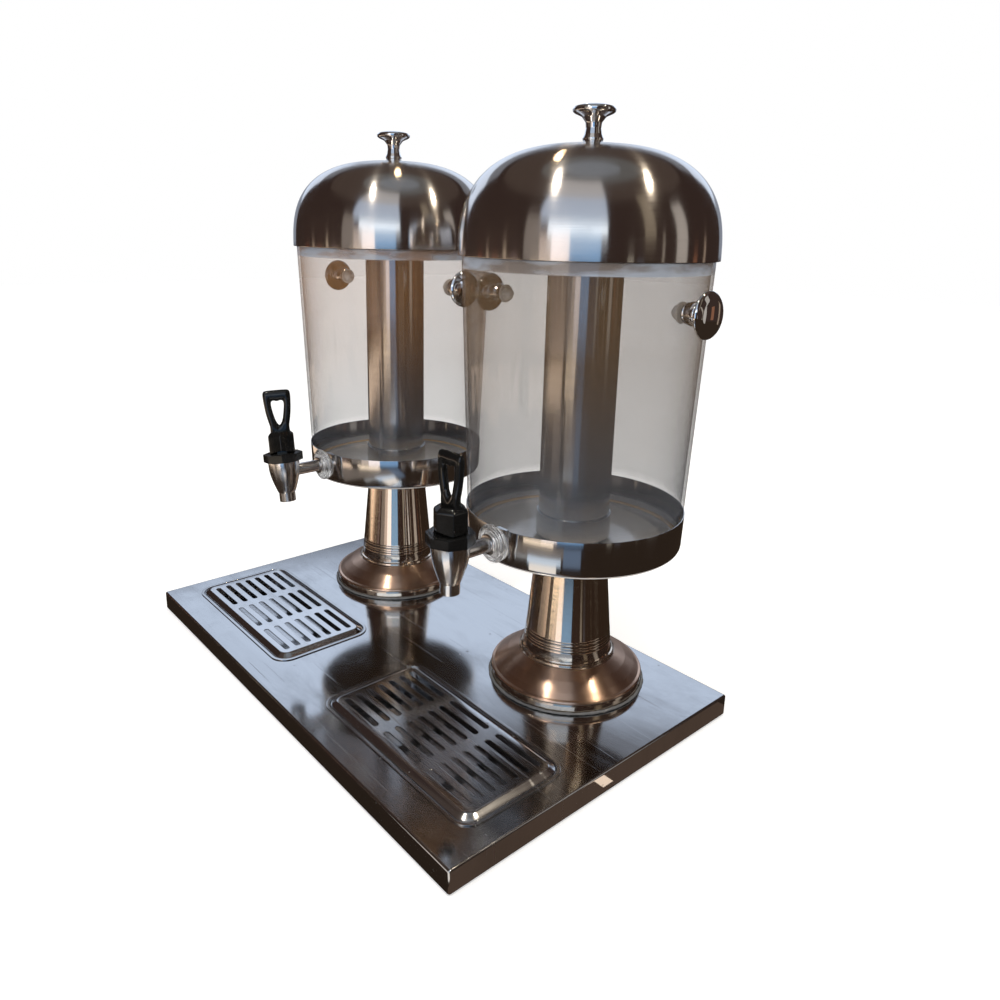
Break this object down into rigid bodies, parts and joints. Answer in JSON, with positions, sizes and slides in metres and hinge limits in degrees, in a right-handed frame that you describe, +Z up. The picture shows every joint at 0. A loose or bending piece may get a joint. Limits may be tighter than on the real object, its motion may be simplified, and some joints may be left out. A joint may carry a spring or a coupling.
{
  "type": "juice dispenser",
  "caption": "Twin cold juice dispenser: clear tapered tanks under steel dome lids, on pedestals, with lever taps over drip trays on one folded steel base.",
  "frame": {"origin": "under the middle of the object's box, on the surface that the feet stand on", "axes": "+Z up, -Y towards the taps and drip trays, +X along the base towards the right-hand dispenser as seen from the taps"},
  "size_m": [0.5804, 0.3736, 0.5701],
  "materials": {
    "brushed_steel": "satin spun and rolled stainless sheet",
    "polished_steel": "polished stainless",
    "zinc_steel": "zinc-plated fasteners",
    "chrome": "bright chrome",
    "clear_tank": "clear polycarbonate",
    "clear_silicone": "clear silicone",
    "white_silicone": "white silicone",
    "sealant": "hand-laid silver-grey sealant",
    "black_plastic": "glossy moulded plastic",
    "black_rubber": "matte rubber"
  },
  "bodies": {
    "stand": {"base_plate": "brushed_steel", "foot_front_left": "black_rubber", "foot_front_right": "black_rubber", "foot_back_left": "black_rubber", "foot_back_right": "black_rubber", "left_pedestal": "polished_steel", "left_foot_bead": "sealant", "left_pan": "brushed_steel", "left_pan_seal": "white_silicone", "left_tank": "clear_tank", "left_tube_collar": "polished_steel", "left_ice_tube": "polished_steel", "left_tie_rod": "zinc_steel", "left_tie_nut": "zinc_steel", "left_tap_body": "chrome", "left_tap_washer": "clear_silicone", "left_tap_seal": "clear_silicone", "left_tap_lock_nut": "chrome", "left_tap_bonnet": "black_plastic", "left_lever_pin": "zinc_steel", "left_knob_out": "chrome", "left_knob_in": "chrome", "left_nut_out": "zinc_steel", "left_nut_in": "zinc_steel", "right_pedestal": "polished_steel", "right_foot_bead": "sealant", "right_pan": "brushed_steel", "right_pan_seal": "white_silicone", "right_tank": "clear_tank", "right_tube_collar": "polished_steel", "right_ice_tube": "polished_steel", "right_tie_rod": "zinc_steel", "right_tie_nut": "zinc_steel", "right_tap_body": "chrome", "right_tap_washer": "clear_silicone", "right_tap_seal": "clear_silicone", "right_tap_lock_nut": "chrome", "right_tap_bonnet": "black_plastic", "right_lever_pin": "zinc_steel", "right_knob_out": "chrome", "right_knob_in": "chrome", "right_nut_out": "zinc_steel", "right_nut_in": "zinc_steel"},
    "left_lid": {"left_lid": "brushed_steel", "left_lid_knob": "chrome", "left_lid_screw": "zinc_steel"},
    "left_lever": {"left_tap_lever": "black_plastic"},
    "left_valve": {"left_valve_stem": "polished_steel", "left_seat_cup": "white_silicone"},
    "left_tray": {"left_drip_tray": "polished_steel"},
    "left_grille": {"left_drip_grille": "polished_steel"},
    "right_lid": {"right_lid": "brushed_steel", "right_lid_knob": "chrome", "right_lid_screw": "zinc_steel"},
    "right_lever": {"right_tap_lever": "black_plastic"},
    "right_valve": {"right_valve_stem": "polished_steel", "right_seat_cup": "white_silicone"},
    "right_tray": {"right_drip_tray": "polished_steel"},
    "right_grille": {"right_drip_grille": "polished_steel"}
  },
  "joints": [
    {"name": "left_lid_lift", "type": "slide", "parent": "stand", "child": "left_lid", "axis": [0, 0, 1], "range_m": [0, 0.15]},
    {"name": "left_lever_tilt", "type": "hinge", "parent": "stand", "child": "left_lever", "pos_m": [-0.15143, -0.08685, 0.22049], "axis": [0.4801, 0.8746, 0.0675], "range_deg": [0, 25]},
    {"name": "left_valve_lift", "type": "slide", "parent": "stand", "child": "left_valve", "axis": [-0.1392, 0, 0.9903], "range_m": [0, 0.0047], "stiffness_N_per_m": 1500, "springref_m": -0.003},
    {"name": "left_tray_lift", "type": "slide", "parent": "stand", "child": "left_tray", "axis": [0, 0, 1], "range_m": [0, 0.06]},
    {"name": "left_grille_lift", "type": "slide", "parent": "left_tray", "child": "left_grille", "axis": [0, 0, 1], "range_m": [0, 0.04]},
    {"name": "right_lid_lift", "type": "slide", "parent": "stand", "child": "right_lid", "axis": [0, 0, 1], "range_m": [0, 0.15]},
    {"name": "right_lever_tilt", "type": "hinge", "parent": "stand", "child": "right_lever", "pos_m": [0.1532, -0.09009, 0.22], "axis": [0.9994, 0.0349, 0], "range_deg": [0, 25]},
    {"name": "right_valve_lift", "type": "slide", "parent": "stand", "child": "right_valve", "axis": [0, 0, 1], "range_m": [0, 0.0047], "stiffness_N_per_m": 1500, "springref_m": -0.003},
    {"name": "right_tray_lift", "type": "slide", "parent": "stand", "child": "right_tray", "axis": [0, 0, 1], "range_m": [0, 0.06]},
    {"name": "right_grille_lift", "type": "slide", "parent": "right_tray", "child": "right_grille", "axis": [0, 0, 1], "range_m": [0, 0.04]}
  ],
  "couplings": [
    {"joint": "left_lever_tilt", "follows": "left_valve_lift", "rad_per_m": 90.9},
    {"joint": "right_lever_tilt", "follows": "right_valve_lift", "rad_per_m": 90.9}
  ]
}
